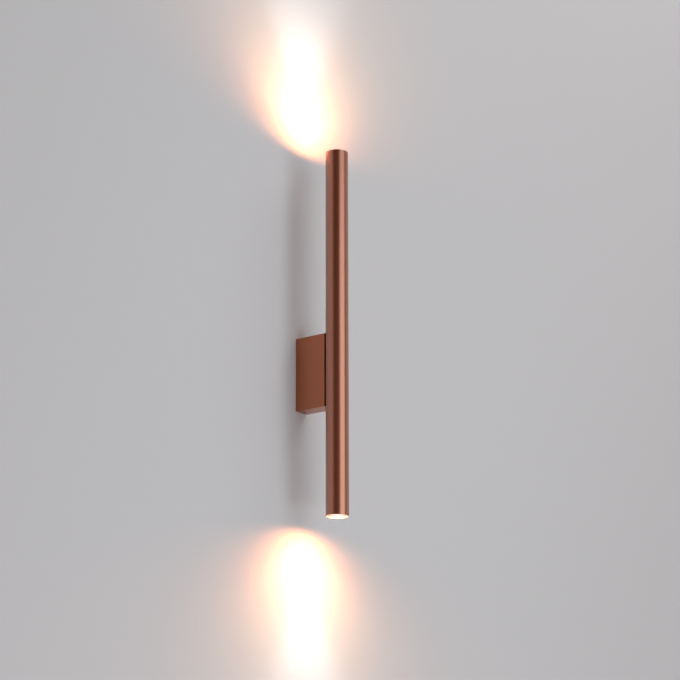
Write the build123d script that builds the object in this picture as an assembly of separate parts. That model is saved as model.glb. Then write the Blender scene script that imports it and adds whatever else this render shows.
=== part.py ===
from build123d import *
import math
import os

# Tube wall light, in millimetres. The wall is the plane y = 0, and the light stands out from it towards -Y.
# +Z is up. The origin is on the wall at the middle of the box, midway between the wall plate's two slots.

# ---- Tube ----
tube_diameter = 30.0
tube_wall = 1.2
tube_length = 492.0
tube_rise = 53.0  # middle of the tube above the middle of the box
tube_axis_reach = 58.5  # wall to the tube's axis
tube_rim_radius = 0.3

# ---- Box cover ----
box_width = 23.0
box_height = 98.0
box_side_wall = 1.8
box_end_wall = 3.0
cradle_depth = 3.2  # how far the tube sits into the box's front
cradle_wall = 1.9  # front wall where the cradle is deepest
box_edge_radius = 0.6
box_corner_radius = 1.0  # inside corners

# ---- Fits and clearances ----
snug = 0.05  # radial gap of pieces that are pushed or screwed together
thread_gap = 0.05  # radial gap between a screw and its tapped hole
screw_play = 0.15  # radial gap between a screw and its clearance hole
cover_play = 0.4  # gap between the box cover and the wall plate inside it
touch_gap = 0.1  # gap between pieces that part when the light is taken down
hole_overrun = 1.0  # how far a cutting tool runs past the face it cuts

# ---- Screws ----
head_diameter_ratio = 2.0  # pan head, times the thread's diameter
head_height_ratio = 0.6
head_rounding_ratio = 0.6  # of the head's height
recess_length_ratio = 1.15  # cross recess
recess_width_ratio = 0.28
recess_depth_ratio = 0.36
tube_screw_diameter = 4.0
tube_screw_length = 8.0
tube_screw_margin = 8.0  # from the box's inside ends
tube_washer_diameter = 9.0
tube_washer_thickness = 0.8
set_screw_diameter = 3.0
set_screw_length = 3.0
set_screw_reach = 5.3  # off the wall, on the box's top and underside
set_screw_socket = 1.5  # across the flats
set_screw_socket_depth = 1.6

# ---- Wall plate ----
plate_thickness = 1.5
plate_tab_depth = 11.0
plate_bend_radius = 1.0
plate_corner_radius = 1.5
slot_spacing = 60.0
slot_width = 4.5
slot_length = 9.0
cable_hole_diameter = 9.0
cable_bush_flange = 12.0
cable_bush_flange_thickness = 1.5
cable_bush_bore = 6.6
earth_screw_drop = 17.0  # below the plate's middle
earth_screw_diameter = 4.0
earth_screw_tip_gap = 0.3  # short of the wall
earth_collar_diameter = 7.5
earth_collar_height = 2.5
earth_washer_diameter = 8.5
earth_washer_thickness = 0.8

# ---- Tube saddle ----
saddle_thickness = 4.3
saddle_end_margin = 8.0  # beyond each tube screw

# ---- Wire bush, from the box into the tube ----
wire_hole_diameter = 8.0
wire_bush_flange = 11.0
wire_bush_flange_thickness = 1.2
wire_bush_bore = 6.0
wire_bush_lip_radius = 0.8
wire_bush_overhang = 1.0  # past the saddle's flat

# ---- Terminal block ----
pole_count = 3
block_side_gap = 0.7  # beside the block, inside the box
block_side_wall = 0.3  # outside the outer half pitch
block_length = 18.0
block_height = 12.5
block_drop = 14.0  # top of the block below the wire bush
foot_gap = 2.5  # between the block's foot and the lower tube washer
block_edge_radius = 0.5
insert_spacing = 1.4  # between two inserts
insert_length = 12.0
insert_below_axis = 2.2
insert_above_axis = 4.2
insert_bore_play = 0.15  # round the two conductors
wire_axis_height = 5.0  # wire axis above the block's base
clamp_screw_diameter = 2.5
clamp_screw_spacing = 6.6
clamp_head_diameter = 3.3
clamp_head_height = 1.5
clamp_head_lift = 0.6  # head above the insert when it is done up
clamp_access_play = 0.2
clamp_tip_gap = 0.1  # screw's tip above the conductors
clamp_slot_width = 0.6
clamp_slot_depth = 0.7
foot_length = 7.0
foot_width = 8.0
foot_thickness = 2.0
foot_screw_diameter = 2.5
foot_screw_tip_gap = 0.2  # short of the cradle's face

# ---- Wires ----
wire_diameter = 1.9
conductor_diameter = 1.0
wire_pair_gap = 0.2  # between the two wires of one pole
wire_bush_gap = 0.1  # between wires that lie side by side in the bush
wire_block_entry = 1.5  # insulation inside the block's mouth
wire_bend_gap = 3.0  # straight run above the block
conductor_block_length = 11.5
block_bend_radius = 8.0
bush_bend_radius = 4.0
tube_bend_radius = 6.0
long_bend_radius = 100.0
wire_spread_run = 32.0  # last straight run before a lampholder
earth_bend_radius = 6.0
earth_lead_rise = 7.0  # how far the earth lead stands off over the other wires
earth_lead_last_run = 3.0
earth_ring_diameter = 8.0
earth_tag_thickness = 0.8
earth_barrel_diameter = 3.0
earth_barrel_length = 5.0
earth_barrel_neck = 0.6
conductor_barrel_length = 3.5

# ---- Lamps, measured from the tube's open end inwards ----
lamp_recess = 5.0
lamp_length = 50.0  # shoulder to tip
lamp_diameter = 16.0
lamp_cover_wall = 1.0
lamp_tongue_margin = 0.5  # outside the pins
lamp_tongue_depth = 8.4
lamp_tongue_length = 10.0
lamp_tongue_radius = 2.0
lamp_collar_length = 8.0
lamp_collar_chamfer = 1.5
lamp_spigot_length = 2.0
pin_spacing = 9.0
pin_length = 6.5
pin_width = 3.6
pin_diameter = 0.9
pin_root = 2.0  # held inside the lamp's base
pin_bottom_flat = 0.1
pin_root_gap = 0.02
column_width = 7.0
chip_width = 2.8
chip_length = 3.5
chip_thickness = 0.7
chip_rows = 3
chip_end_margin = 2.65  # from the column's ends to the outer chips

# ---- Lampholders ----
holder_width = 21.0
holder_depth = 13.0
holder_height = 20.0
holder_corner_radius = 3.0
holder_face_thickness = 3.0
pin_play = 0.3  # round a pin in its slot
cavity_room = 0.5  # beside a contact in its chamber
cavity_depth = 8.0
cavity_shift = 0.2  # chamber's middle outside the pin's
holder_screw_spacing = 8.0
holder_screw_diameter = 2.5
holder_screw_length = 10.0
holder_screw_hole_depth = 9.0
back_plate_thickness = 1.6
back_plate_wire_play = 0.35
contact_sheet = 0.4
contact_width = 3.6
contact_length = 11.6
contact_barrel_diameter = 3.2
contact_top_gap = 0.2
conductor_contact_length = 3.6
bracket_sheet = 1.2
bracket_height = 9.0
bracket_wire_hole = 4.0
bracket_screw_diameter = 3.0
bracket_screw_length = 4.0

# ---- Worked out from the sizes above ----
tube_radius = tube_diameter / 2
bore_radius = tube_radius - tube_wall
tube_top = tube_rise + tube_length / 2
tube_bottom = tube_rise - tube_length / 2
front_inside = -(tube_axis_reach - tube_radius - snug - cradle_wall)
saddle_back = -tube_axis_reach + bore_radius - snug
saddle_flat = saddle_back - saddle_thickness
box_depth = tube_axis_reach - tube_radius + cradle_depth
box_inside_end = box_height / 2 - box_end_wall
tube_screw_height = box_inside_end - tube_screw_margin  # above and below the middle of the box
plate_width = box_width - 2 * box_side_wall - 2 * cover_play
plate_height = box_height - 2 * box_end_wall - 2 * cover_play
foot_bottom = -tube_screw_height + tube_washer_diameter / 2 + foot_gap
block_bottom = foot_bottom + foot_length
block_top = block_bottom + block_length
wire_hole_height = block_top + block_drop
pole_pitch = (plate_width + 2 * cover_play - 2 * block_side_gap - 2 * block_side_wall) / pole_count
block_middle = block_top - block_length / 2
block_width = pole_count * pole_pitch + 2 * block_side_wall
wire_axis = front_inside + wire_axis_height
pole_places = [pole_pitch * (i - (pole_count - 1) / 2) for i in range(pole_count)]
foot_screw_height = foot_bottom + foot_length / 2
foot_screw_length = foot_thickness + cradle_wall - foot_screw_tip_gap
insert_width = pole_pitch - insert_spacing
wire_pair_offset = (wire_diameter + wire_pair_gap) / 2  # each of two wires, off their pole's axis
wire_bush_offset = (wire_diameter + wire_bush_gap) / 2  # each of four wires, off the bush's axis
conductors_reach = wire_pair_offset + conductor_diameter / 2
earth_collar_top = -plate_thickness - earth_collar_height
earth_screw_length = earth_washer_thickness + earth_collar_height + plate_thickness - earth_screw_tip_gap
lamp_shoulder = -(lamp_recess + lamp_length)
lamp_tongue_width = pin_spacing + pin_width + 2 * lamp_tongue_margin
holder_face = lamp_shoulder - touch_gap
holder_back = holder_face - holder_height
bracket_top = holder_back - back_plate_thickness
bracket_bottom = bracket_top - bracket_sheet
bracket_screw_place = bracket_top - (bracket_height + bracket_sheet) / 2
collar_bottom = lamp_shoulder + lamp_tongue_length
collar_top = collar_bottom + lamp_collar_length
column_foot = collar_top + lamp_spigot_length
dome_centre = -lamp_recess - lamp_diameter / 2
cavity_offset = pin_spacing / 2 + cavity_shift
cavity_width = contact_width + 2 * cavity_room

upper_end = Location((0, -tube_axis_reach, tube_top))
lower_end = Location((0, -tube_axis_reach, tube_bottom), (0, 180, 0))
ends = {"upper": upper_end, "lower": lower_end}


def block(x, y, z):
    """A box from its low and high place along each axis."""
    centre = [(low + high) / 2 for low, high in (x, y, z)]
    size = [high - low for low, high in (x, y, z)]
    return Pos(*centre) * Box(*size)


def rod(radius, start, end):
    """A round bar from one point to another."""
    along = Vector(*end) - Vector(*start)
    base = Plane(origin=start, z_dir=along)
    return base * Cylinder(radius, along.length, align=(Align.CENTER, Align.CENTER, Align.MIN))


def washer(outer, inner, thickness, start, along):
    """A flat ring, lying on the point start and built up in the direction along."""
    end = Vector(*start) + Vector(*along) * thickness
    run = Vector(*along) * hole_overrun
    return rod(outer, start, end) - rod(inner, Vector(*start) - run, end + run)


def pan_screw(diameter, length):
    """A pan-head screw with a cross recess; the head stands on z = 0 and the shank points down."""
    head_radius = diameter * head_diameter_ratio / 2
    head_height = diameter * head_height_ratio
    head = Cylinder(head_radius, head_height, align=(Align.CENTER, Align.CENTER, Align.MIN))
    head = fillet(head.edges().sort_by(Axis.Z)[-1], head_height * head_rounding_ratio)
    shank = Cylinder(diameter / 2, length, align=(Align.CENTER, Align.CENTER, Align.MAX))
    depth = diameter * recess_depth_ratio
    arm = Box(diameter * recess_length_ratio, diameter * recess_width_ratio, 2 * depth)
    cross = Pos(0, 0, head_height) * (arm + Rot(0, 0, 90) * arm)
    return head + shank - cross


def facing(point, direction):
    """The place of a screw whose head looks along the direction."""
    return Plane(origin=point, z_dir=direction).location


def screw_hole(diameter, play, start, end):
    return rod(diameter / 2 + play, start, end)


def across_tube_screws(radius):
    """Two bars through the box's front, the tube's back and the saddle, to cut the tube screws' holes."""
    bars = [
        rod(radius, (0, -tube_axis_reach, z), (0, front_inside + hole_overrun, z))
        for z in (-tube_screw_height, tube_screw_height)
    ]
    return bars[0] + bars[1]


def wire_way():
    """The bar that cuts the wires' hole through the box's front, the tube's back and the saddle."""
    start = (0, -tube_axis_reach, wire_hole_height)
    return rod(wire_hole_diameter / 2, start, (0, front_inside + hole_overrun, wire_hole_height))


# ---- Wall side ----
def wall_plate():
    """Folded steel strip: a flat back with two upright slots, and an end tab at the top and the bottom."""
    half_width = plate_width / 2
    half_height = plate_height / 2
    strip = block((-half_width, half_width), (-plate_tab_depth, 0), (-half_height, half_height))
    strip = fillet(
        strip.edges().filter_by(Axis.X).filter_by(lambda edge: edge.center().Y > -plate_thickness),
        plate_bend_radius + plate_thickness,
    )
    inside_height = half_height - plate_thickness
    inside = block(
        (-half_width - hole_overrun, half_width + hole_overrun),
        (-plate_tab_depth - hole_overrun, -plate_thickness),
        (-inside_height, inside_height),
    )
    inside = fillet(
        inside.edges().filter_by(Axis.X).filter_by(lambda edge: edge.center().Y > -plate_tab_depth),
        plate_bend_radius,
    )
    plate = strip - inside
    tab_corners = plate.edges().filter_by(Axis.Z).filter_by(
        lambda edge: edge.center().Y < -plate_tab_depth + snug
    )
    plate = fillet(tab_corners, plate_corner_radius)
    for z in (-slot_spacing / 2, slot_spacing / 2):
        slot = Plane.XZ * (Pos(0, z) * Rot(0, 0, 90) * SlotOverall(slot_length, slot_width))
        plate -= extrude(slot, amount=plate_thickness + hole_overrun, both=True)
    plate -= rod(cable_hole_diameter / 2, (0, hole_overrun, 0), (0, -plate_thickness - hole_overrun, 0))
    z = -earth_screw_drop
    plate += rod(earth_collar_diameter / 2, (0, -plate_thickness, z), (0, earth_collar_top, z))
    return plate - screw_hole(
        earth_screw_diameter, thread_gap, (0, hole_overrun, z), (0, earth_collar_top - hole_overrun, z)
    )


def cable_bush():
    """Rubber bush in the wall plate's middle hole, which the house cable comes in through."""
    flange_face = -plate_thickness - cable_bush_flange_thickness
    bush = rod(cable_hole_diameter / 2 - snug, (0, 0, 0), (0, -plate_thickness, 0))
    bush += rod(cable_bush_flange / 2, (0, -plate_thickness, 0), (0, flange_face, 0))
    return bush - rod(
        cable_bush_bore / 2, (0, hole_overrun, 0), (0, flange_face - hole_overrun, 0)
    )


def earth_washer():
    face = (0, earth_collar_top, -earth_screw_drop)
    hole = earth_screw_diameter / 2 + screw_play
    return washer(earth_washer_diameter / 2, hole, earth_washer_thickness, face, (0, -1, 0))


def earth_screw():
    face = earth_collar_top - earth_washer_thickness
    place = facing((0, face, -earth_screw_drop), (0, -1, 0))
    return place * pan_screw(earth_screw_diameter, earth_screw_length)


# ---- Box cover and what fixes it ----
def box_cover():
    """Cast box, open to the wall, with a round cradle in its front for the tube."""
    half_width = box_width / 2
    half_height = box_height / 2
    box = block((-half_width, half_width), (-box_depth, 0), (-half_height, half_height))
    box = fillet(box.edges().filter_by(lambda edge: edge.center().Y < -snug), box_edge_radius)
    inside_width = half_width - box_side_wall
    inside = block(
        (-inside_width, inside_width),
        (front_inside, hole_overrun),
        (-box_inside_end, box_inside_end),
    )
    box -= fillet(inside.edges().filter_by(Axis.Y), box_corner_radius)
    box -= rod(
        tube_radius + snug,
        (0, -tube_axis_reach, -half_height - hole_overrun),
        (0, -tube_axis_reach, half_height + hole_overrun),
    )
    box -= across_tube_screws(tube_screw_diameter / 2 + screw_play)
    box -= wire_way()
    box -= screw_hole(
        foot_screw_diameter,
        thread_gap,
        (0, front_inside + hole_overrun, foot_screw_height),
        (0, -tube_axis_reach, foot_screw_height),
    )
    return box - screw_hole(
        set_screw_diameter,
        thread_gap,
        (0, -set_screw_reach, -half_height - hole_overrun),
        (0, -set_screw_reach, half_height + hole_overrun),
    )


def set_screw():
    """Headless screw with a hexagon socket; its socket end is at z = 0."""
    body = Cylinder(
        set_screw_diameter / 2, set_screw_length, align=(Align.CENTER, Align.CENTER, Align.MAX)
    )
    hexagon = RegularPolygon(set_screw_socket / 2, 6, major_radius=False)
    return body - extrude(hexagon, amount=-set_screw_socket_depth)


def cover_set_screws():
    """One screw in the box's top and one in its underside, each a hair off the plate's tab."""
    tip = plate_height / 2 + touch_gap
    socket_end = tip + set_screw_length
    return [
        facing((0, -set_screw_reach, socket_end), (0, 0, 1)) * set_screw(),
        facing((0, -set_screw_reach, -socket_end), (0, 0, -1)) * set_screw(),
    ]


# ---- Tube and what holds it to the box ----
def tube():
    """Aluminium tube, open at both ends."""
    axis = Location((0, -tube_axis_reach, tube_rise))
    pipe = Cylinder(tube_radius, tube_length) - Cylinder(bore_radius, tube_length)
    pipe = axis * fillet(pipe.edges().filter_by(GeomType.CIRCLE), tube_rim_radius)
    pipe -= across_tube_screws(tube_screw_diameter / 2 + screw_play)
    pipe -= wire_way()
    for place in ends.values():
        pipe -= place * screw_hole(
            bracket_screw_diameter,
            screw_play,
            (0, 0, bracket_screw_place),
            (0, tube_radius + hole_overrun, bracket_screw_place),
        )
    return pipe


def tube_saddle():
    """Threaded bar that lies in the tube's back and takes the two tube screws."""
    half_length = tube_screw_height + saddle_end_margin
    bar = rod(
        bore_radius - snug, (0, -tube_axis_reach, -half_length), (0, -tube_axis_reach, half_length)
    )
    bar &= block(
        (-bore_radius, bore_radius), (saddle_flat, saddle_back + hole_overrun), (-half_length, half_length)
    )
    return bar - across_tube_screws(tube_screw_diameter / 2 + thread_gap) - wire_way()


def tube_washers():
    """The lower washer lies on the box's front wall, the upper one on the earth tag."""
    lower_face = (0, front_inside, -tube_screw_height)
    upper_face = (0, front_inside + earth_tag_thickness, tube_screw_height)
    hole = tube_screw_diameter / 2 + screw_play
    outer = tube_washer_diameter / 2
    return [
        washer(outer, hole, tube_washer_thickness, face, (0, 1, 0))
        for face in (lower_face, upper_face)
    ]


def tube_screws():
    lower_head = front_inside + tube_washer_thickness
    upper_head = lower_head + earth_tag_thickness
    heads = ((lower_head, -tube_screw_height), (upper_head, tube_screw_height))
    return [
        facing((0, y, z), (0, 1, 0)) * pan_screw(tube_screw_diameter, tube_screw_length)
        for y, z in heads
    ]


def wire_bush():
    """Flanged plastic bush that lines the wires' hole from the box into the tube."""
    end = saddle_flat - wire_bush_overhang
    flange_face = front_inside + wire_bush_flange_thickness
    z = wire_hole_height
    bush = rod(wire_hole_diameter / 2 - snug, (0, end, z), (0, front_inside, z))
    bush += rod(wire_bush_flange / 2, (0, front_inside, z), (0, flange_face, z))
    bush -= rod(wire_bush_bore / 2, (0, end - hole_overrun, z), (0, flange_face + hole_overrun, z))
    mouth = bush.edges().filter_by(GeomType.CIRCLE).filter_by(
        lambda edge: edge.radius < wire_bush_bore / 2 + snug and edge.center().Y > front_inside
    )
    return fillet(mouth, wire_bush_lip_radius)


# ---- Terminal block ----
def terminal_block():
    """Moulded block with one channel for each pole, and a foot that is screwed to the box's front wall."""
    base = front_inside
    half_width = block_width / 2
    body = block(
        (-half_width, half_width), (base, base + block_height), (block_bottom, block_top)
    )
    body = fillet(body.edges().filter_by(Axis.Z), block_edge_radius)
    body += block(
        (-foot_width / 2, foot_width / 2),
        (base, base + foot_thickness),
        (foot_bottom, block_bottom),
    )
    body -= screw_hole(
        foot_screw_diameter,
        screw_play,
        (0, base - hole_overrun, foot_screw_height),
        (0, base + foot_thickness + hole_overrun, foot_screw_height),
    )
    half_channel = insert_width / 2 + snug
    access_radius = clamp_head_diameter / 2 + clamp_access_play
    for x in pole_places:
        body -= block(
            (x - half_channel, x + half_channel),
            (wire_axis - insert_below_axis - snug, wire_axis + insert_above_axis + snug),
            (block_bottom - hole_overrun, block_top + hole_overrun),
        )
        for z in clamp_screw_heights():
            body -= rod(access_radius, (x, wire_axis, z), (x, base + block_height + hole_overrun, z))
    return body


def clamp_screw_heights():
    return (block_middle - clamp_screw_spacing / 2, block_middle + clamp_screw_spacing / 2)


def terminal_inserts():
    """Brass inserts, one in each channel, with a bore for the wires and two tapped holes."""
    inserts = []
    half_length = insert_length / 2
    for x in pole_places:
        insert = block(
            (x - insert_width / 2, x + insert_width / 2),
            (wire_axis - insert_below_axis, wire_axis + insert_above_axis),
            (block_middle - half_length, block_middle + half_length),
        )
        insert -= rod(
            conductors_reach + insert_bore_play,
            (x, wire_axis, block_middle - half_length - hole_overrun),
            (x, wire_axis, block_middle + half_length + hole_overrun),
        )
        for z in clamp_screw_heights():
            insert -= screw_hole(
                clamp_screw_diameter,
                thread_gap,
                (x, wire_axis, z),
                (x, wire_axis + insert_above_axis + hole_overrun, z),
            )
        inserts.append(insert)
    return inserts


def clamp_screws():
    """Two slotted screws for each pole, done up on the wires; they are reached from the wall side."""
    tip = wire_axis + conductors_reach + clamp_tip_gap
    head_seat = wire_axis + insert_above_axis + clamp_head_lift
    head_top = head_seat + clamp_head_height
    screws = []
    for x in pole_places:
        for z in clamp_screw_heights():
            screw = rod(clamp_screw_diameter / 2, (x, tip, z), (x, head_seat, z))
            screw += rod(clamp_head_diameter / 2, (x, head_seat, z), (x, head_top, z))
            half_slot = clamp_slot_width / 2
            screw -= block(
                (x - clamp_head_diameter, x + clamp_head_diameter),
                (head_top - clamp_slot_depth, head_top + hole_overrun),
                (z - half_slot, z + half_slot),
            )
            screws.append(screw)
    return screws


def terminal_foot_screw():
    place = facing((0, front_inside + foot_thickness, foot_screw_height), (0, 1, 0))
    return place * pan_screw(foot_screw_diameter, foot_screw_length)


# ---- Wires ----
def wire(points, radii, start_bare, end_bare):
    """An insulated wire along straight runs joined by arcs, with a bare conductor at each end."""
    path = FilletPolyline(*points, radius=radii)
    section = Plane(origin=path @ 0, z_dir=path % 0) * Circle(wire_diameter / 2)
    insulated = sweep(section, path=path)
    expected = path.length * math.pi * (wire_diameter / 2) ** 2
    print(f"wire {path.length:.1f} mm, volume over section times length {insulated.volume / expected:.4f}")
    conductor = conductor_diameter / 2
    first = rod(conductor, path @ 0, path @ 0 - (path % 0) * start_bare)
    last = rod(conductor, path @ 1, path @ 1 + (path % 1) * end_bare)
    return insulated + first + last


def holder_wire(side, end):
    """From a pole of the terminal block, through the wire bush and up or down the tube to a contact."""
    up = 1 if end == "upper" else -1
    pole = side * pole_pitch
    lane = side * wire_bush_offset
    contact = side * cavity_offset
    layer = wire_axis + up * wire_pair_offset
    bush_height = wire_hole_height + up * wire_bush_offset
    tube_end = tube_top if end == "upper" else tube_bottom
    wire_end = tube_end + up * holder_back
    block_start = block_top - wire_block_entry
    bend_start = block_top + wire_bend_gap
    points = [
        (pole, layer, block_start),
        (pole, layer, bend_start),
        (lane, layer, bush_height),
        (lane, -tube_axis_reach, bush_height),
        (contact, -tube_axis_reach, wire_end - up * wire_spread_run),
        (contact, -tube_axis_reach, wire_end),
    ]
    radii = [block_bend_radius, bush_bend_radius, tube_bend_radius, long_bend_radius]
    return wire(points, radii, conductor_block_length, conductor_contact_length)


def earth_barrel_place():
    """Where the earth tag's barrel begins and ends, and its axis off the wall."""
    top = tube_screw_height - earth_ring_diameter / 2 - earth_barrel_neck
    return top, top - earth_barrel_length, front_inside + earth_barrel_diameter / 2


def earth_tag():
    """Crimped ring terminal under the upper tube screw's washer."""
    barrel_top, barrel_bottom, barrel_axis = earth_barrel_place()
    centre = (0, front_inside, tube_screw_height)
    hole = tube_screw_diameter / 2 + screw_play
    tag = washer(earth_ring_diameter / 2, hole, earth_tag_thickness, centre, (0, 1, 0))
    half_barrel = earth_barrel_diameter / 2
    tag += block(
        (-half_barrel, half_barrel),
        (front_inside, front_inside + earth_tag_thickness),
        (barrel_top - earth_barrel_neck, barrel_top + earth_barrel_neck + half_barrel),
    )
    tag += rod(half_barrel, (0, barrel_axis, barrel_bottom), (0, barrel_axis, barrel_top))
    tag -= rod(
        hole,
        (0, front_inside - hole_overrun, tube_screw_height),
        (0, front_inside + earth_tag_thickness + hole_overrun, tube_screw_height),
    )
    return tag - rod(
        conductor_diameter / 2 + snug,
        (0, barrel_axis, barrel_bottom - hole_overrun),
        (0, barrel_axis, barrel_top + hole_overrun),
    )


def earth_lead():
    """From the middle pole, over the other wires, to the earth tag."""
    _, barrel_bottom, barrel_axis = earth_barrel_place()
    lifted = wire_axis + earth_lead_rise
    bend_start = block_top + wire_bend_gap
    points = [
        (0, wire_axis, block_top - wire_block_entry),
        (0, wire_axis, bend_start),
        (0, lifted, bend_start + earth_lead_rise),
        (0, barrel_axis, barrel_bottom - earth_lead_last_run),
        (0, barrel_axis, barrel_bottom),
    ]
    return wire(points, [earth_bend_radius] * 3, conductor_block_length, conductor_barrel_length)


# ---- Lampholders, in the frame of a tube end: z = 0 at the rim, +z out of the tube ----
def holder_body():
    """Ceramic two-pin lampholder with a slot and a contact chamber for each pin."""
    outline = RectangleRounded(holder_width, holder_depth, holder_corner_radius)
    body = Pos(0, 0, holder_back) * extrude(outline, amount=holder_height)
    for side in (-1, 1):
        x = side * cavity_offset
        body -= block(
            (x - cavity_width / 2, x + cavity_width / 2),
            (-cavity_depth / 2, cavity_depth / 2),
            (holder_back - hole_overrun, holder_face - holder_face_thickness),
        )
        pin = side * pin_spacing / 2
        body -= block(
            (pin - pin_width / 2 - pin_play, pin + pin_width / 2 + pin_play),
            (-pin_diameter / 2 - pin_play, pin_diameter / 2 + pin_play),
            (holder_back, holder_face + hole_overrun),
        )
        body -= holder_screw_way(side, thread_gap)
    return body


def holder_screw_way(side, play):
    """The hole of one of the two screws that come up through the bracket into the ceramic."""
    y = side * holder_screw_spacing / 2
    bottom = (0, y, bracket_bottom - hole_overrun)
    return screw_hole(holder_screw_diameter, play, bottom, (0, y, holder_back + holder_screw_hole_depth))


def holder_contacts():
    """Two spring clips that grip the pins, each with a barrel for its wire."""
    clips = []
    gap = pin_diameter / 2 + snug
    leaf_top = holder_face - holder_face_thickness - contact_top_gap
    leaf_bottom = leaf_top - contact_length
    for side in (-1, 1):
        x = side * cavity_offset
        across = (x - contact_width / 2, x + contact_width / 2)
        clip = block(across, (gap, gap + contact_sheet), (leaf_bottom, leaf_top))
        clip += block(across, (-gap - contact_sheet, -gap), (leaf_bottom, leaf_top))
        floor = (leaf_bottom - contact_sheet, leaf_bottom)
        clip += block(across, (-gap - contact_sheet, gap + contact_sheet), floor)
        clip += rod(contact_barrel_diameter / 2, (x, 0, holder_back), (x, 0, leaf_bottom))
        clip -= rod(
            conductor_diameter / 2 + snug, (x, 0, holder_back - hole_overrun), (x, 0, leaf_bottom)
        )
        clips.append(clip)
    return clips


def holder_back_plate():
    """Insulating plate that closes the contact chambers."""
    outline = RectangleRounded(holder_width, holder_depth, holder_corner_radius)
    plate = Pos(0, 0, bracket_top) * extrude(outline, amount=back_plate_thickness)
    for side in (-1, 1):
        x = side * cavity_offset
        plate -= rod(
            wire_diameter / 2 + back_plate_wire_play,
            (x, 0, bracket_top - hole_overrun),
            (x, 0, holder_back + hole_overrun),
        )
        plate -= holder_screw_way(side, screw_play)
    return plate


def holder_bracket():
    """Pressed steel cup, snug in the tube, that carries the lampholder."""
    rim_radius = bore_radius - touch_gap
    rim_bottom = bracket_bottom - bracket_height
    cup = rod(rim_radius, (0, 0, rim_bottom), (0, 0, bracket_top))
    cup -= rod(rim_radius - bracket_sheet, (0, 0, rim_bottom - hole_overrun), (0, 0, bracket_bottom))
    for side in (-1, 1):
        x = side * cavity_offset
        cup -= rod(
            bracket_wire_hole / 2,
            (x, 0, bracket_bottom - hole_overrun),
            (x, 0, bracket_top + hole_overrun),
        )
        cup -= holder_screw_way(side, screw_play)
    return cup - screw_hole(
        bracket_screw_diameter,
        thread_gap,
        (0, 0, bracket_screw_place),
        (0, tube_radius, bracket_screw_place),
    )


def holder_screws():
    return [
        facing((0, side * holder_screw_spacing / 2, bracket_bottom), (0, 0, -1))
        * pan_screw(holder_screw_diameter, holder_screw_length)
        for side in (-1, 1)
    ]


def bracket_screw():
    """Goes in through the back of the tube, where the wall hides it."""
    place = facing((0, tube_radius + snug, bracket_screw_place), (0, 1, 0))
    return place * pan_screw(bracket_screw_diameter, bracket_screw_length)


# ---- Lamps, in the same frame ----
def pin_loop(side, radius):
    """One wire loop of a lamp's two-loop base."""
    inner = side * pin_spacing / 2 - (pin_width - pin_diameter) / 2
    outer = side * pin_spacing / 2 + (pin_width - pin_diameter) / 2
    top = lamp_shoulder + pin_root
    bottom = lamp_shoulder - pin_length + pin_diameter / 2
    bend = (pin_width - pin_diameter - pin_bottom_flat) / 2
    corners = [(inner, 0, top), (inner, 0, bottom), (outer, 0, bottom), (outer, 0, top)]
    path = FilletPolyline(*corners, radius=bend)
    return sweep(Plane(origin=path @ 0, z_dir=path % 0) * Circle(radius), path=path)


def lamp_pins():
    return [pin_loop(side, pin_diameter / 2) for side in (-1, 1)]


def lamp_base():
    """Moulded base: a flat tongue with the pins, a round collar and a spigot for the cover."""
    tongue = RectangleRounded(lamp_tongue_width, lamp_tongue_depth, lamp_tongue_radius)
    base = Pos(0, 0, lamp_shoulder) * extrude(tongue, amount=lamp_tongue_length)
    collar = rod(lamp_diameter / 2, (0, 0, collar_bottom), (0, 0, collar_top))
    base += chamfer(collar.edges().sort_by(Axis.Z)[0], lamp_collar_chamfer)
    base += rod(
        lamp_diameter / 2 - lamp_cover_wall - snug,
        (0, 0, collar_top),
        (0, 0, column_foot),
    )
    for side in (-1, 1):
        base -= pin_loop(side, pin_diameter / 2 + pin_root_gap)
    return base


def lamp_column():
    """Upright square core that carries the light-emitting chips."""
    half = column_width / 2
    return block((-half, half), (-half, half), (column_foot, dome_centre))


def lamp_chips():
    """Rows of chips on the column's four sides, and one chip on its top."""
    half = column_width / 2
    lowest = column_foot + chip_end_margin + chip_length / 2
    highest = dome_centre - chip_end_margin - chip_length / 2
    chips = []
    for quarter in range(4):
        for row in range(chip_rows):
            z = lowest + (highest - lowest) * row / (chip_rows - 1)
            chip = block(
                (-chip_width / 2, chip_width / 2),
                (half, half + chip_thickness),
                (z - chip_length / 2, z + chip_length / 2),
            )
            chips.append(Rot(0, 0, 90 * quarter) * chip)
    across = (-chip_width / 2, chip_width / 2)
    chips.append(block(across, across, (dome_centre, dome_centre + chip_thickness)))
    return chips


def lamp_cover():
    """Thin frosted cover: a round sleeve closed by a dome."""
    outer = lamp_diameter / 2
    inner = outer - lamp_cover_wall
    shell = rod(outer, (0, 0, collar_top), (0, 0, dome_centre))
    shell += Pos(0, 0, dome_centre) * Sphere(outer)
    hollow = rod(inner, (0, 0, collar_top - hole_overrun), (0, 0, dome_centre))
    return shell - hollow - Pos(0, 0, dome_centre) * Sphere(inner)


def save(name, solids):
    """One file for each kind of piece; like pieces share it as separate solids."""
    shape = Compound(children=solids) if isinstance(solids, list) else solids
    export_step(shape, f"parts/{name}.step")


os.makedirs("parts", exist_ok=True)

save("wall_plate", wall_plate())
save("cable_bush", cable_bush())
save("plate_earth_washer", earth_washer())
save("plate_earth_screw", earth_screw())

save("box_cover", box_cover())
save("cover_set_screws", cover_set_screws())
save("tube", tube())
save("tube_saddle", tube_saddle())
save("tube_screw_washers", tube_washers())
save("tube_screws", tube_screws())
save("wire_bush", wire_bush())
save("terminal_block", terminal_block())
save("terminal_inserts", terminal_inserts())
save("terminal_clamp_screws", clamp_screws())
save("terminal_foot_screw", terminal_foot_screw())
save("earth_tag", earth_tag())
save("earth_lead", earth_lead())

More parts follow.
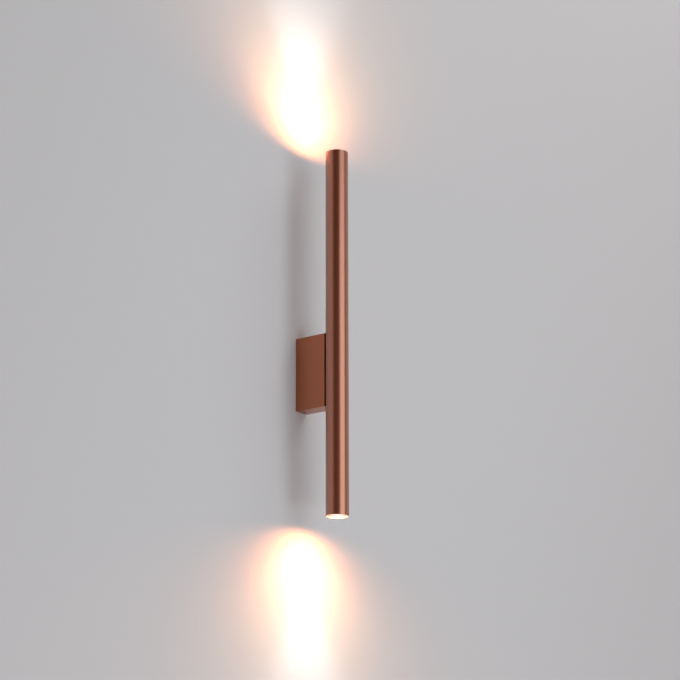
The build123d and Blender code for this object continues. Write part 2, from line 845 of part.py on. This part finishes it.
for end, place in ends.items():
    save(f"{end}_live_wire", holder_wire(-1, end))
    save(f"{end}_neutral_wire", holder_wire(1, end))
    save(f"{end}_lampholder_body", place * holder_body())
    save(f"{end}_lampholder_contacts", [place * clip for clip in holder_contacts()])
    save(f"{end}_lampholder_back_plate", place * holder_back_plate())
    save(f"{end}_lampholder_bracket", place * holder_bracket())
    save(f"{end}_lampholder_screws", [place * screw for screw in holder_screws()])
    save(f"{end}_bracket_screw", place * bracket_screw())
    save(f"{end}_lamp_base", place * lamp_base())
    save(f"{end}_lamp_pins", [place * loop for loop in lamp_pins()])
    save(f"{end}_lamp_column", place * lamp_column())
    save(f"{end}_lamp_chips", [place * chip for chip in lamp_chips()])
    save(f"{end}_lamp_cover", place * lamp_cover())
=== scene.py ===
import math

import bpy
from mathutils import Matrix, Vector


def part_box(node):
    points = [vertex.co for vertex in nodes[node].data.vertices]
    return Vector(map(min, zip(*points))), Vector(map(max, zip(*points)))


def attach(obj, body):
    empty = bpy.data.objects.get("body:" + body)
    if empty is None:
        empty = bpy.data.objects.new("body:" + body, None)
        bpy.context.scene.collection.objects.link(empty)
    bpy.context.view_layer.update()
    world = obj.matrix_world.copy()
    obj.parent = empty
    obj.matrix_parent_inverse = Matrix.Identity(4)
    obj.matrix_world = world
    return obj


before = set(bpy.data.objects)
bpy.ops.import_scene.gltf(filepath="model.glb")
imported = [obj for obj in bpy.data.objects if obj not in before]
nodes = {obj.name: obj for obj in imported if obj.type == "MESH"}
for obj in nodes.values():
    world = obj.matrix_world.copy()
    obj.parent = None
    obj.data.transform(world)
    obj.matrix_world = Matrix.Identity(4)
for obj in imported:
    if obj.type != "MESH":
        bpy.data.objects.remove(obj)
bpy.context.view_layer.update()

scene = bpy.context.scene
scene.view_settings.view_transform = "Standard"

# ---- Camera ----
# It stands low and to the left of the light, almost three metres off, and looks up at it along the wall.
camera_place = Vector((-2.1756, -1.6989, -0.7488))
camera_right = Vector((0.601408, -0.798939, -0.002062))
camera_up = Vector((-0.220985, -0.168827, 0.960553))
camera_turn = Matrix((camera_right, camera_up, camera_right.cross(camera_up))).transposed()
bpy.ops.object.camera_add(location=camera_place, rotation=camera_turn.to_euler())
camera = bpy.context.object
camera.data.sensor_width = 36.0
camera.data.lens = 115.66
camera.data.clip_start = 0.05
scene.camera = camera


def new_material(name, colour, metallic, roughness):
    """A material with one Principled shader; colour and roughness are what it has on average."""
    material = bpy.data.materials.new(name)
    material.use_nodes = True
    shader = material.node_tree.nodes["Principled BSDF"]
    shader.inputs["Base Color"].default_value = (*colour, 1)
    shader.inputs["Metallic"].default_value = metallic
    shader.inputs["Roughness"].default_value = roughness
    return material, shader


def noise(material, scale, stretch=(1, 1, 1), detail=3.0):
    """Noise in the piece's own coordinates, drawn out along an axis where its stretch is under one."""
    tree = material.node_tree
    place = tree.nodes.new("ShaderNodeTexCoord")
    mapping = tree.nodes.new("ShaderNodeMapping")
    mapping.inputs["Scale"].default_value = stretch
    tree.links.new(place.outputs["Object"], mapping.inputs["Vector"])
    texture = tree.nodes.new("ShaderNodeTexNoise")
    texture.inputs["Scale"].default_value = scale
    texture.inputs["Detail"].default_value = detail
    tree.links.new(mapping.outputs["Vector"], texture.inputs["Vector"])
    return texture.outputs["Fac"]


def spread(material, factor, low, high, start=0.3, end=0.7):
    """The factor, between start and end, taken to low and high."""
    tree = material.node_tree
    span = tree.nodes.new("ShaderNodeMapRange")
    span.inputs["From Min"].default_value = start
    span.inputs["From Max"].default_value = end
    span.inputs["To Min"].default_value = low
    span.inputs["To Max"].default_value = high
    tree.links.new(factor, span.inputs["Value"])
    return span.outputs["Result"]


def blend_colour(material, factor, first, second):
    """From the first colour to the second as the factor rises; either may be a colour or an output."""
    tree = material.node_tree
    mix = tree.nodes.new("ShaderNodeMix")
    mix.data_type = "RGBA"
    tree.links.new(factor, mix.inputs["Factor"])
    for socket, value in ((mix.inputs["A"], first), (mix.inputs["B"], second)):
        if isinstance(value, tuple):
            socket.default_value = (*value, 1)
        else:
            tree.links.new(value, socket)
    return mix.outputs["Result"]


def bump(material, shader, height, depth, over=None):
    """Raises and sinks the surface by the height, over what another bump gives."""
    tree = material.node_tree
    node = tree.nodes.new("ShaderNodeBump")
    node.inputs["Distance"].default_value = depth
    node.inputs["Strength"].default_value = 1.0
    tree.links.new(height, node.inputs["Height"])
    if over is not None:
        tree.links.new(over, node.inputs["Normal"])
    tree.links.new(node.outputs["Normal"], shader.inputs["Normal"])
    return node.outputs["Normal"]


def put(material, shader, colour, roughness):
    """Leads the two outputs into the shader's colour and roughness."""
    material.node_tree.links.new(colour, shader.inputs["Base Color"])
    material.node_tree.links.new(roughness, shader.inputs["Roughness"])


def grained(
    name,
    average,
    metallic,
    roughness,
    grain,
    gloss,
    depth,
    tones,
    stretch=(1, 1, 1),
    drift=None,
    span=(0.3, 0.7),
):
    """A material whose grain sets its roughness and its bump, and whose colour drifts between two tones.

    The grain and the drift are scales of noise, and the stretch is the grain's. The gloss is the lowest and
    the highest roughness, the depth is the bump's, and the span is the part of the drift that the colour
    changes over. Where no drift is given, the colour follows the grain.
    """
    material, shader = new_material(name, average, metallic, roughness)
    surface = noise(material, grain, stretch)
    patches = surface if drift is None else noise(material, drift)
    colour = blend_colour(material, spread(material, patches, 0.0, 1.0, *span), *tones)
    put(material, shader, colour, spread(material, surface, *gloss))
    bump(material, shader, surface, depth)
    return material


def dress(material, *names):
    """Gives the material to the named pieces."""
    for name in names:
        nodes[name].material_slots[0].material = material


zinc = grained(
    "zinc_plated_sheet_look",
    (0.62, 0.63, 0.64),
    metallic=1.0,
    roughness=0.35,
    grain=2600.0,
    stretch=(1, 1, 0.02),
    gloss=(0.26, 0.44),
    depth=0.00002,
    tones=((0.58, 0.61, 0.66), (0.67, 0.65, 0.58)),
    drift=70.0,
    span=(0.35, 0.65),
)
dress(zinc, "wall_plate")

# ---- Cable bush ----
# A soft black rubber bush, pushed into the plate's middle hole so that the sheet's edge can't cut the house
# cable. Its skin is dull and a little dusty.
rubber = grained(
    "black_rubber_look",
    (0.022, 0.022, 0.023),
    metallic=0.0,
    roughness=0.8,
    grain=1400.0,
    gloss=(0.66, 0.92),
    depth=0.00004,
    tones=((0.016, 0.016, 0.017), (0.034, 0.033, 0.032)),
    drift=260.0,
)
dress(rubber, "cable_bush")

# ---- Steel screws and washers ----
# All of them are zinc-plated steel, bright on the flats and a little duller in the recesses. The plate's
# earth screw and washer sit on a pressed collar; the others hold the tube, the terminal block and the
# lampholders.
screw_steel = grained(
    "screw_steel_look",
    (0.66, 0.66, 0.65),
    metallic=1.0,
    roughness=0.3,
    grain=900.0,
    gloss=(0.2, 0.42),
    depth=0.00002,
    tones=((0.56, 0.58, 0.62), (0.72, 0.71, 0.66)),
    drift=160.0,
)
dress(
    screw_steel,
    "plate_earth_washer",
    "plate_earth_screw",
    "tube_screw_washers",
    "tube_screws",
    "terminal_foot_screw",
    "terminal_clamp_screws",
    "upper_bracket_screw",
    "lower_bracket_screw",
    "upper_lampholder_screws",
    "lower_lampholder_screws",
)

# ---- Box cover ----
# A small cast box over the wall plate, sprayed outside in the same satin copper-brown lacquer as the tube.
# Inside, the casting is bare and dull, with a thin mist of overspray near the open rim.
brown_deep = (0.44, 0.14, 0.070)
brown_light = (0.54, 0.195, 0.100)
box_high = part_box("box_cover")[1]
tube_low, tube_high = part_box("tube")
# The lacquer's look goes this far into the walls from outside, which stops short of their inner faces.
side_skin = 0.0015
end_skin = 0.0026
front_skin = 0.0014
bare_half_width = box_high[0] - side_skin
bare_half_height = box_high[2] - end_skin
bare_front = tube_high[1] + front_skin
overspray_start = -0.02


def axis_value(material, axis):
    """One of the piece's own coordinates."""
    tree = material.node_tree
    place = tree.nodes.new("ShaderNodeTexCoord")
    split = tree.nodes.new("ShaderNodeSeparateXYZ")
    tree.links.new(place.outputs["Object"], split.inputs["Vector"])
    return split.outputs[axis]


def calc(material, operation, *values):
    """A Math node on numbers or outputs."""
    tree = material.node_tree
    node = tree.nodes.new("ShaderNodeMath")
    node.operation = operation
    for socket, value in zip(node.inputs, values):
        if isinstance(value, (int, float)):
            socket.default_value = value
        else:
            tree.links.new(value, socket)
    return node.outputs["Value"]


def blend_number(material, factor, first, second):
    """From the first output to the second as the factor rises."""
    tree = material.node_tree
    mix = tree.nodes.new("ShaderNodeMix")
    tree.links.new(factor, mix.inputs["Factor"])
    tree.links.new(first, mix.inputs["A"])
    tree.links.new(second, mix.inputs["B"])
    return mix.outputs["Result"]


def lacquer(name, coat, coat_ior):
    """Satin metallic lacquer: fine flake, a slight orange peel and a clear coat."""
    material, shader = new_material(name, brown_light, metallic=1.0, roughness=0.3)
    shader.inputs["Coat Weight"].default_value = coat
    shader.inputs["Coat Roughness"].default_value = 0.24
    shader.inputs["Coat IOR"].default_value = coat_ior
    cloud = spread(material, noise(material, 55.0, detail=2.0), 0.35, 0.65)
    flake = noise(material, 5200.0, detail=1.0)
    colour = blend_colour(material, calc(material, "MULTIPLY", cloud, flake), brown_deep, brown_light)
    roughness = spread(material, flake, 0.28, 0.37)
    peel = noise(material, 520.0, detail=1.0)
    normal = bump(material, shader, peel, depth=0.000012)
    bump(material, shader, flake, depth=0.000004, over=normal)
    return material, shader, colour, roughness


box_finish, shader, colour, roughness = lacquer("box_copper_brown", coat=0.3, coat_ior=1.5)
across = calc(box_finish, "ABSOLUTE", axis_value(box_finish, "X"))
along = calc(box_finish, "ABSOLUTE", axis_value(box_finish, "Z"))
between_sides = calc(box_finish, "LESS_THAN", across, bare_half_width)
between_ends = calc(box_finish, "LESS_THAN", along, bare_half_height)
behind_front = calc(box_finish, "GREATER_THAN", axis_value(box_finish, "Y"), bare_front)
inside = calc(box_finish, "MULTIPLY", calc(box_finish, "MULTIPLY", between_sides, between_ends), behind_front)
overspray = spread(box_finish, axis_value(box_finish, "Y"), 0.12, 0.75, start=overspray_start, end=0.0)
cast = blend_colour(box_finish, overspray, (0.42, 0.42, 0.41), (0.33, 0.16, 0.11))
cast_roughness = spread(box_finish, noise(box_finish, 1500.0), 0.45, 0.7)
put(
    box_finish,
    shader,
    blend_colour(box_finish, inside, colour, cast),
    blend_number(box_finish, inside, roughness, cast_roughness),
)
dress(box_finish, "box_cover")

# ---- Set screws ----
# Two headless black-oxide screws, one in the box's top and one in its underside, that pin the box to the wall
# plate. A film of oil leaves them unevenly dull and a little patchy in colour.
black_oxide = grained(
    "black_oxide_look",
    (0.045, 0.043, 0.042),
    metallic=1.0,
    roughness=0.45,
    grain=1800.0,
    gloss=(0.32, 0.55),
    depth=0.00002,
    tones=((0.035, 0.034, 0.035), (0.06, 0.055, 0.05)),
    drift=300.0,
)
dress(black_oxide, "cover_set_screws")

# ---- Tube ----
# Drawn aluminium tube, sprayed outside in the satin copper-brown lacquer. The bore is bare metal with fine
# drawing lines along it, so that it throws the lamps' light out of both ends.
tube_radius = tube_high[0]
axis_reach = tube_radius - tube_high[1]
half_wall = 0.0006
bare_radius = tube_radius - half_wall
tube_finish, shader, colour, roughness = lacquer("tube_copper_brown", coat=1.0, coat_ior=1.8)
off_axis = calc(tube_finish, "ADD", axis_value(tube_finish, "Y"), axis_reach)
squares = calc(
    tube_finish,
    "ADD",
    calc(tube_finish, "POWER", axis_value(tube_finish, "X"), 2.0),
    calc(tube_finish, "POWER", off_axis, 2.0),
)
bore = calc(tube_finish, "LESS_THAN", squares, bare_radius**2)
drawing = noise(tube_finish, 3000.0, stretch=(1, 1, 0.01))
bare = blend_colour(tube_finish, drawing, (0.70, 0.70, 0.70), (0.84, 0.84, 0.84))
put(
    tube_finish,
    shader,
    blend_colour(tube_finish, bore, colour, bare),
    blend_number(tube_finish, bore, roughness, spread(tube_finish, drawing, 0.42, 0.6)),
)
dress(tube_finish, "tube")

# ---- Tube saddle ----
# A length of extruded aluminium with a round back, laid in the tube and threaded for the two tube screws.
# Fine lines from the die run along it.
extrusion = grained(
    "bare_aluminium_look",
    (0.75, 0.76, 0.77),
    metallic=1.0,
    roughness=0.4,
    grain=3200.0,
    stretch=(1, 1, 0.012),
    gloss=(0.3, 0.52),
    depth=0.00002,
    tones=((0.68, 0.69, 0.71), (0.78, 0.78, 0.78)),
    drift=90.0,
)
dress(extrusion, "tube_saddle")

# ---- Terminal block and wire bush ----
# White nylon mouldings: the block is screwed to the box's front wall by its foot, and the bush is pressed
# into the hole that the wires pass through. Their surface has the fine sparkle of a spark-eroded mould.
nylon = grained(
    "white_moulding_look",
    (0.82, 0.82, 0.79),
    metallic=0.0,
    roughness=0.5,
    grain=2400.0,
    gloss=(0.42, 0.6),
    depth=0.00003,
    tones=((0.80, 0.79, 0.75), (0.86, 0.86, 0.84)),
    drift=120.0,
)
shader = nylon.node_tree.nodes["Principled BSDF"]
shader.inputs["Subsurface Weight"].default_value = 0.15
shader.inputs["Subsurface Scale"].default_value = 0.002
dress(nylon, "terminal_block", "wire_bush")

# ---- Terminal inserts ----
# Sawn and drilled brass bars, one in each channel of the block, a little tarnished. The saw has left fine
# marks on them.
brass = grained(
    "terminal_brass_look",
    (0.72, 0.55, 0.27),
    metallic=1.0,
    roughness=0.32,
    grain=1600.0,
    stretch=(1, 0.1, 1),
    gloss=(0.22, 0.45),
    depth=0.00002,
    tones=((0.62, 0.44, 0.20), (0.78, 0.61, 0.31)),
    drift=300.0,
)
dress(brass, "terminal_inserts")

# ---- Earth tag, contacts and lamp pins ----
# Pressed and drawn in a spring alloy with a nickel plating, warm grey and fairly bright. The lamps' pins are
# plated like the contacts that grip them.
plated = grained(
    "plated_contact_look",
    (0.72, 0.70, 0.66),
    metallic=1.0,
    roughness=0.28,
    grain=1900.0,
    gloss=(0.18, 0.4),
    depth=0.000015,
    tones=((0.66, 0.63, 0.58), (0.76, 0.74, 0.70)),
    drift=240.0,
)
dress(
    plated,
    "earth_tag",
    "upper_lampholder_contacts",
    "lower_lampholder_contacts",
    "upper_lamp_pins",
    "lower_lamp_pins",
)

# ---- Wires ----
# Stranded copper in extruded silicone: brown and blue to each lampholder, and a green and yellow earth lead
# whose two colours run along it side by side.
wire_roughness = 0.45
wire_grain = 700.0
wire_gloss = (0.36, 0.58)
wire_bump = 0.00003
brown_tones = ((0.13, 0.055, 0.028), (0.20, 0.09, 0.045))
blue_tones = ((0.03, 0.11, 0.32), (0.05, 0.17, 0.44))
green = (0.04, 0.28, 0.07)
yellow = (0.80, 0.66, 0.05)
green_yellow = (0.45, 0.62, 0.08)
half_seam = 0.00004
for name, tones, wires in (
    ("brown_insulation_look", brown_tones, ("upper_live_wire", "lower_live_wire")),
    ("blue_insulation_look", blue_tones, ("upper_neutral_wire", "lower_neutral_wire")),
):
    sleeve = grained(
        name,
        tones[1],
        metallic=0.0,
        roughness=wire_roughness,
        grain=wire_grain,
        gloss=wire_gloss,
        depth=wire_bump,
        tones=tones,
    )
    dress(sleeve, *wires)
striped, shader = new_material("green_yellow_insulation_look", green_yellow, 0.0, wire_roughness)
side = spread(striped, axis_value(striped, "X"), 0.0, 1.0, start=-half_seam, end=half_seam)
rub = noise(striped, wire_grain)
put(striped, shader, blend_colour(striped, side, green, yellow), spread(striped, rub, *wire_gloss))
bump(striped, shader, rub, wire_bump)
dress(striped, "earth_lead")

# ---- Lampholders ----
# Each has an unglazed ceramic body, closed at the back by a pressed mica board, and is screwed to a pressed
# steel cup that a screw through the tube's back holds in place.
steatite, shader = new_material("ceramic_look", (0.84, 0.82, 0.77), metallic=0.0, roughness=0.62)
pores = noise(steatite, 2100.0)
firing = spread(steatite, noise(steatite, 150.0), 0.0, 1.0)
fired = blend_colour(steatite, firing, (0.80, 0.77, 0.71), (0.87, 0.85, 0.81))
specks = spread(steatite, noise(steatite, 1700.0, detail=1.0), 0.0, 1.0, start=0.70, end=0.80)
speckled = blend_colour(steatite, specks, fired, (0.55, 0.49, 0.41))
put(steatite, shader, speckled, spread(steatite, pores, 0.5, 0.75))
bump(steatite, shader, pores, depth=0.00004)
dress(steatite, "upper_lampholder_body", "lower_lampholder_body")

mica = grained(
    "insulating_board_look",
    (0.62, 0.55, 0.44),
    metallic=0.0,
    roughness=0.5,
    grain=500.0,
    stretch=(1, 1, 4),
    gloss=(0.35, 0.65),
    depth=0.00005,
    tones=((0.50, 0.42, 0.31), (0.72, 0.66, 0.55)),
)
dress(mica, "upper_lampholder_back_plate", "lower_lampholder_back_plate")
dress(zinc, "upper_lampholder_bracket", "lower_lampholder_bracket")

# ---- Lamps ----
# Plug-in lamps with a white moulded base, a ceramic core with rows of light-emitting chips, and a frosted
# cover that glows warm white all over.
glow_colour = (1.0, 0.87, 0.72)
cover_glow = 1.3
chip_glow = 4.0
whole_span = (0.0, 1.0)


def light_up(material, strength):
    """Makes the material give off the lamps' own light."""
    shader = material.node_tree.nodes["Principled BSDF"]
    shader.inputs["Emission Color"].default_value = (*glow_colour, 1)
    shader.inputs["Emission Strength"].default_value = strength


moulding = grained(
    "lamp_base_look",
    (0.86, 0.86, 0.85),
    metallic=0.0,
    roughness=0.38,
    grain=2600.0,
    gloss=(0.3, 0.48),
    depth=0.00002,
    tones=((0.82, 0.81, 0.79), (0.89, 0.89, 0.88)),
    drift=140.0,
)
dress(moulding, "upper_lamp_base", "lower_lamp_base")

core = grained(
    "lamp_core_look",
    (0.88, 0.88, 0.86),
    metallic=0.0,
    roughness=0.55,
    grain=1800.0,
    gloss=(0.45, 0.65),
    depth=0.00003,
    tones=((0.84, 0.83, 0.80), (0.91, 0.91, 0.89)),
    span=whole_span,
)
dress(core, "upper_lamp_column", "lower_lamp_column")

chips = grained(
    "light_chips_look",
    (0.95, 0.74, 0.26),
    metallic=0.0,
    roughness=0.4,
    grain=1500.0,
    gloss=(0.3, 0.5),
    depth=0.00002,
    tones=((0.90, 0.66, 0.18), (0.97, 0.80, 0.34)),
    span=whole_span,
)
light_up(chips, chip_glow)
dress(chips, "upper_lamp_chips", "lower_lamp_chips")

frosted = grained(
    "frosted_cover_look",
    (0.92, 0.90, 0.85),
    metallic=0.0,
    roughness=0.5,
    grain=2200.0,
    gloss=(0.4, 0.6),
    depth=0.00003,
    tones=((0.90, 0.87, 0.80), (0.94, 0.93, 0.90)),
    span=whole_span,
)
light_up(frosted, cover_glow)
dress(frosted, "upper_lamp_cover", "lower_lamp_cover")

# What leaves each lamp's tip, each with its opening in degrees, the softness of its edge, its colour and its
# watts: an orange fringe that skims past the tube's rim, a pale middle and a white core that even its colour
# out, and a cool fan that carries far along the wall. The sum is warm white.
fringe = (176, 0.96, (1.0, 0.36, 0.135), 2.75)
pale_middle = (132, 1.0, (0.80, 1.0, 0.62), 0.9)
white_core = (84, 1.0, (0.96, 1.0, 0.95), 0.8)
fan = (62, 0.9, (0.84, 0.95, 1.0), 2.7)
mouth_depth = 0.0008
source_radius = 0.004
upper_lean = 0.0
lower_lean = -4.0
for body, rim, outwards, lean in (
    ("upper_lamp", tube_high[2], 1, upper_lean),
    ("lower_lamp", tube_low[2], -1, lower_lean),
):
    for opening, softness, colour, power in (fringe, pale_middle, white_core, fan):
        turn = (math.pi if outwards > 0 else 0.0, math.radians(lean), 0)
        place = (0, -axis_reach, rim - outwards * mouth_depth)
        bpy.ops.object.light_add(type="SPOT", location=place, rotation=turn)
        light = bpy.context.object
        light.data.spot_size = math.radians(opening)
        light.data.spot_blend = softness
        light.data.shadow_soft_size = source_radius
        light.data.color = colour
        light.data.energy = power
        light.visible_camera = False
        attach(light, body)

# ---- Wall and floor ----
# A plain pale wall just behind the plate, and a pale floor far below. Both are seen through from behind, and
# the wall is cut out behind the plate, so that the back can be looked at.
wall_gap = 0.0006
wall_half_width = 3.0
wall_top = 2.65
floor_drop = -1.45
floor_depth = 4.0
wall_colour = (0.575, 0.575, 0.59)
backdrop_colour = (0.80, 0.80, 0.81)


def see_through_behind(name, colour, pale):
    """A matt paint that the camera sees through from behind, and in front lightened by the pale share."""
    material, shader = new_material(name, colour, metallic=0.0, roughness=0.85)
    bump(material, shader, noise(material, 900.0), depth=0.00003)
    tree = material.node_tree
    geometry = tree.nodes.new("ShaderNodeNewGeometry")
    path = tree.nodes.new("ShaderNodeLightPath")
    plain = tree.nodes.new("ShaderNodeEmission")
    plain.inputs["Color"].default_value = (*backdrop_colour, 1)
    lighten = tree.nodes.new("ShaderNodeMixShader")
    tree.links.new(calc(material, "MULTIPLY", path.outputs["Is Camera Ray"], pale), lighten.inputs["Fac"])
    tree.links.new(shader.outputs["BSDF"], lighten.inputs[1])
    tree.links.new(plain.outputs["Emission"], lighten.inputs[2])
    clear = tree.nodes.new("ShaderNodeBsdfTransparent")
    mix = tree.nodes.new("ShaderNodeMixShader")
    hidden = calc(material, "MULTIPLY", geometry.outputs["Backfacing"], path.outputs["Is Camera Ray"])
    tree.links.new(hidden, mix.inputs["Fac"])
    tree.links.new(lighten.outputs["Shader"], mix.inputs[1])
    tree.links.new(clear.outputs["BSDF"], mix.inputs[2])
    tree.links.new(mix.outputs["Shader"], tree.nodes["Material Output"].inputs["Surface"])
    return material


plate_low, plate_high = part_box("wall_plate")
bpy.ops.object.select_all(action="DESELECT")
bpy.ops.mesh.primitive_plane_add(size=1, location=(0, wall_gap, 0), rotation=(math.radians(90), 0, 0))
wall = bpy.context.object
wall.name = "backdrop_wall"
wall.scale = (plate_high[0] - plate_low[0], plate_high[2] - plate_low[2], 1)
bpy.ops.object.transform_apply(location=True, rotation=True, scale=True)
bpy.ops.object.mode_set(mode="EDIT")
bpy.ops.mesh.select_all(action="SELECT")
bpy.ops.mesh.delete(type="ONLY_FACE")
bpy.ops.mesh.select_all(action="SELECT")
bpy.ops.mesh.extrude_edges_move()
bpy.ops.object.mode_set(mode="OBJECT")
for vertex in wall.data.vertices:
    if vertex.select:
        vertex.co.x = wall_half_width if vertex.co.x > 0 else -wall_half_width
        vertex.co.z = wall_top if vertex.co.z > 0 else floor_drop
wall.data.materials.append(see_through_behind("wall_paint", wall_colour, pale=0.0))

bpy.ops.object.select_all(action="DESELECT")
bpy.ops.mesh.primitive_plane_add(size=1, location=(0, -floor_depth / 2, floor_drop))
floor = bpy.context.object
floor.name = "floor"
floor.scale = (2 * wall_half_width, floor_depth, 1)
bpy.ops.object.transform_apply(location=True, rotation=True, scale=True)
floor.data.materials.append(see_through_behind("floor_paint", wall_colour, pale=0.85))

# ---- Studio light ----
# Soft panels: the key light stands in front of the wall and draws the tube's shadow, and the others lift the
# sides. The rest of the room gives a dim warm glow, and what the camera sees past the wall is pale.
plate_middle = (0, 0, 0)
tube_middle = (0, 0, 0.05)


def soft_panel(name, place, target, width, height, power, colour=(1, 1, 1)):
    """A rectangular soft light that faces the target."""
    aim = (Vector(target) - Vector(place)).to_track_quat("-Z", "Y").to_euler()
    bpy.ops.object.light_add(type="AREA", location=place, rotation=aim)
    panel = bpy.context.object
    panel.name = name
    panel.data.shape = "RECTANGLE"
    panel.data.size = width
    panel.data.size_y = height
    panel.data.energy = power
    panel.data.color = colour
    return panel


soft_panel(
    "key_light", (0.02, -2.3, 0.33), tube_middle, width=2.16, height=1.7, power=17.4, colour=(0.88, 1.0, 1.06)
)
soft_panel("side_light", (2.6, -1.3, 0.4), tube_middle, width=2.0, height=2.2, power=5.5)
soft_panel("top_light", (1.1, -1.5, 2.3), plate_middle, width=2.2, height=1.4, power=33.0)
soft_panel("low_light", (-0.3, -1.9, -1.35), plate_middle, width=3.4, height=0.8, power=32.0)

# Two lights stand behind the wall, which doesn't stop them: a wide one for the plate and what the box holds,
# and a narrow one that shines straight into the box, so that the box's outside stays as the room lights it.
rear_place = (0.0, 1.9, 0.2)
rear_height = 2.4
shade_from_behind = bpy.data.collections.new("shade_from_behind")
for node in nodes.values():
    shade_from_behind.objects.link(node)
behind_the_box = (
    "wall_plate",
    "cable_bush",
    "plate_earth_screw",
    "plate_earth_washer",
    "cover_set_screws",
    "wire_bush",
    "tube_screws",
    "tube_screw_washers",
    "terminal_block",
    "terminal_inserts",
    "terminal_clamp_screws",
    "terminal_foot_screw",
    "earth_tag",
    "earth_lead",
    "upper_live_wire",
    "upper_neutral_wire",
    "lower_live_wire",
    "lower_neutral_wire",
)
for name, width, power, reached in (
    ("rear_light", 3.0, 16.0, behind_the_box),
    ("box_inside_light", 1.0, 6.0, ("box_cover",)),
):
    light = soft_panel(name, rear_place, plate_middle, width, rear_height, power)
    lit = bpy.data.collections.new("reached_by_" + name)
    for piece in reached:
        lit.objects.link(nodes[piece])
    light.light_linking.receiver_collection = lit
    light.light_linking.blocker_collection = shade_from_behind

world = bpy.data.worlds.new("studio")
scene.world = world
world.use_nodes = True
tree = world.node_tree
room = tree.nodes["Background"]
room.inputs["Color"].default_value = (1.0, 0.60, 0.42, 1)
room.inputs["Strength"].default_value = 0.13
backdrop = tree.nodes.new("ShaderNodeBackground")
backdrop.inputs["Color"].default_value = (*backdrop_colour, 1)
backdrop.inputs["Strength"].default_value = 1.0
path = tree.nodes.new("ShaderNodeLightPath")
mix = tree.nodes.new("ShaderNodeMixShader")
tree.links.new(path.outputs["Is Camera Ray"], mix.inputs["Fac"])
tree.links.new(room.outputs["Background"], mix.inputs[1])
tree.links.new(backdrop.outputs["Background"], mix.inputs[2])
tree.links.new(mix.outputs["Shader"], tree.nodes["World Output"].inputs["Surface"])
